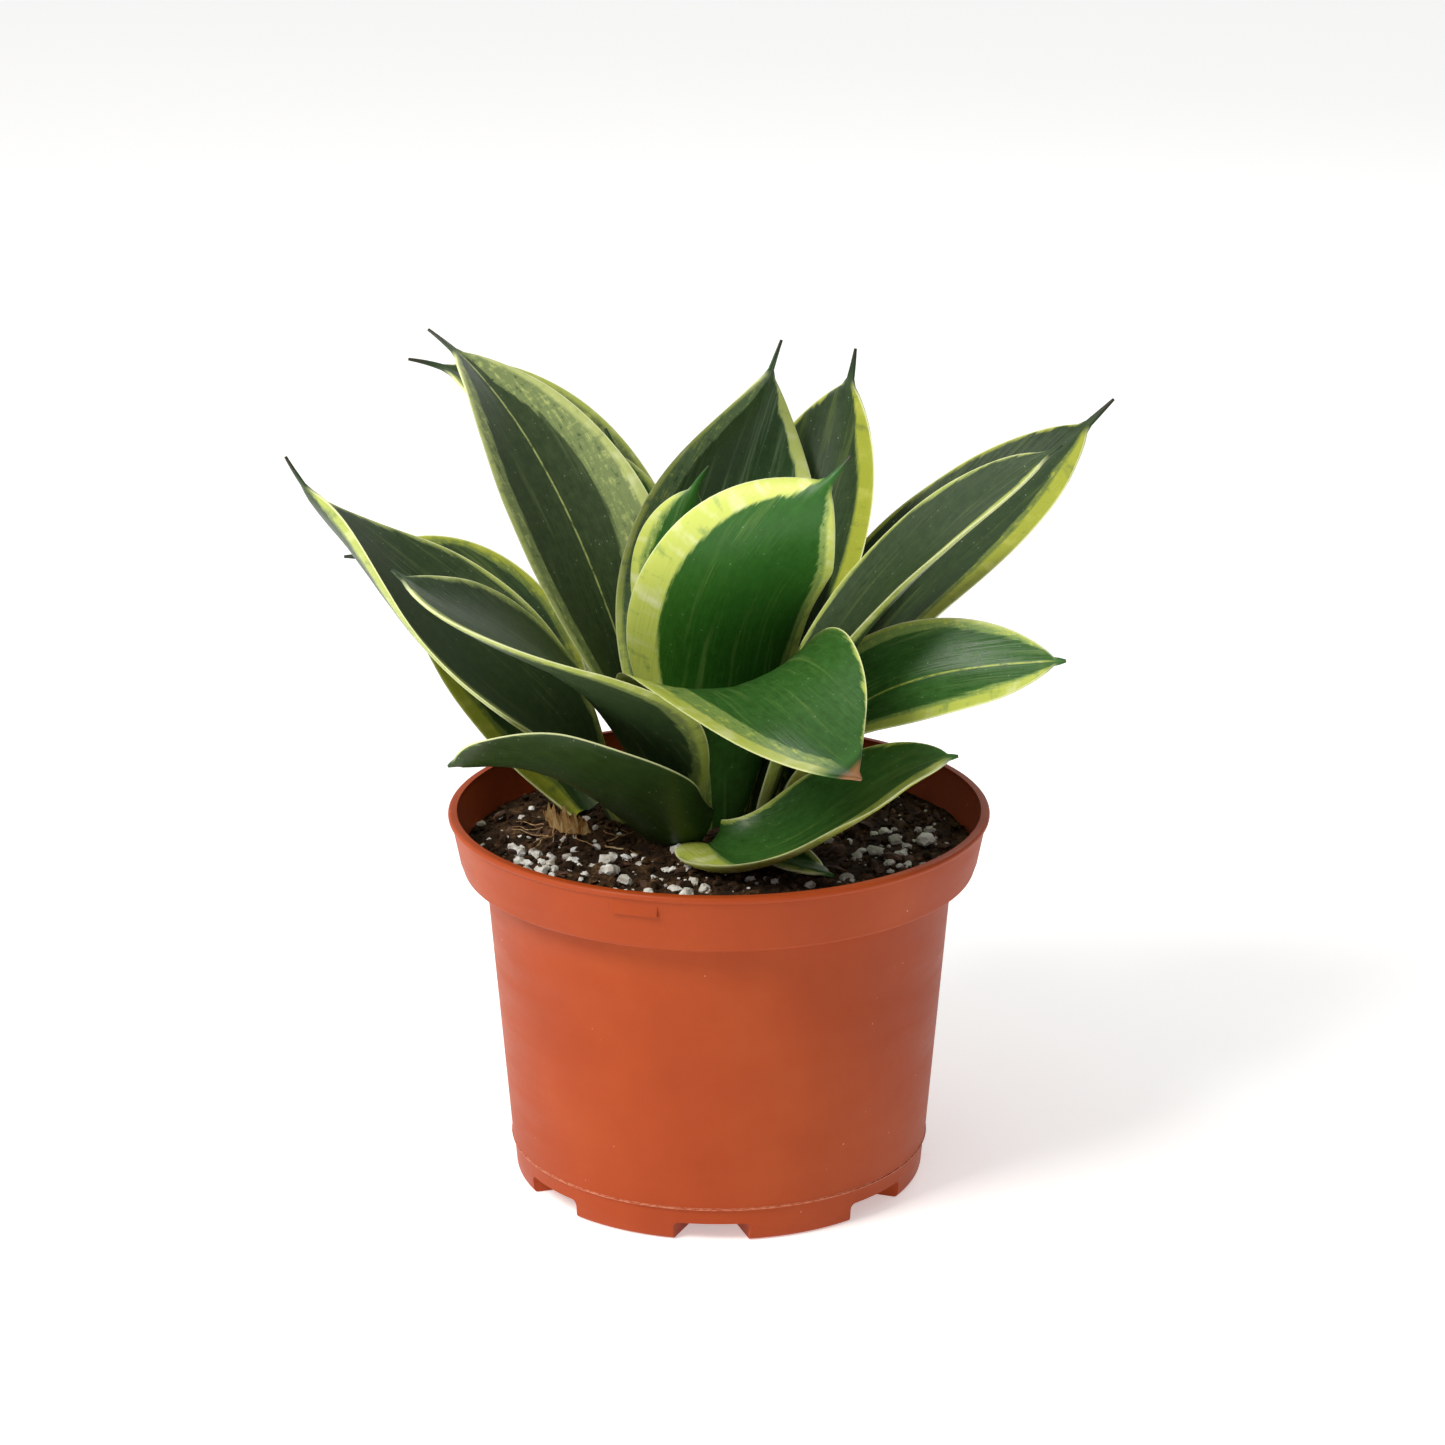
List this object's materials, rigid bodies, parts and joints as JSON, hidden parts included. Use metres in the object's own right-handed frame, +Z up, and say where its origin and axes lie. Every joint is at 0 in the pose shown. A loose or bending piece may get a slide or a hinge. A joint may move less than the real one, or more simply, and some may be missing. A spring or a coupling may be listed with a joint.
{
  "type": "potted live plants",
  "caption": "Young variegated bird's-nest snake plant, its broad spiked leaves in a rosette with a side shoot, in potting mix in a terracotta-coloured plastic nursery pot.",
  "frame": {"origin": "centre of the pot's round foot, on the surface it stands on", "axes": "+Z up; -Y towards the front, where the low leaves reach over the rim; +X to the right as seen from the front"},
  "size_m": [0.2323, 0.1856, 0.2281],
  "materials": {
    "pot_plastic": "satin",
    "potting_mix": "matte",
    "rhizome": "matte",
    "leaf": "satin",
    "dry_sheath": "matte"
  },
  "bodies": {
    "root": {"pot": "pot_plastic", "soil": "potting_mix", "crown_main": "rhizome", "crown_pup": "rhizome", "leaf_back_left_tall": "leaf", "leaf_back_left_outer": "leaf", "leaf_centre_back": "leaf", "leaf_back_right_tall": "leaf", "leaf_centre_front": "leaf", "leaf_heart": "leaf", "leaf_right_long": "leaf", "leaf_right_upper": "leaf", "leaf_right_lower": "leaf", "leaf_front_folded": "leaf", "leaf_front_right_low": "leaf", "leaf_front_left_low": "leaf", "leaf_left_long": "leaf", "leaf_left_upper": "leaf", "leaf_left_outer": "leaf", "leaf_back_centre": "leaf", "leaf_back_low_left": "leaf", "leaf_back_low_right": "leaf", "leaf_front_tip": "leaf", "dry_sheath": "dry_sheath"}
  },
  "joints": []
}
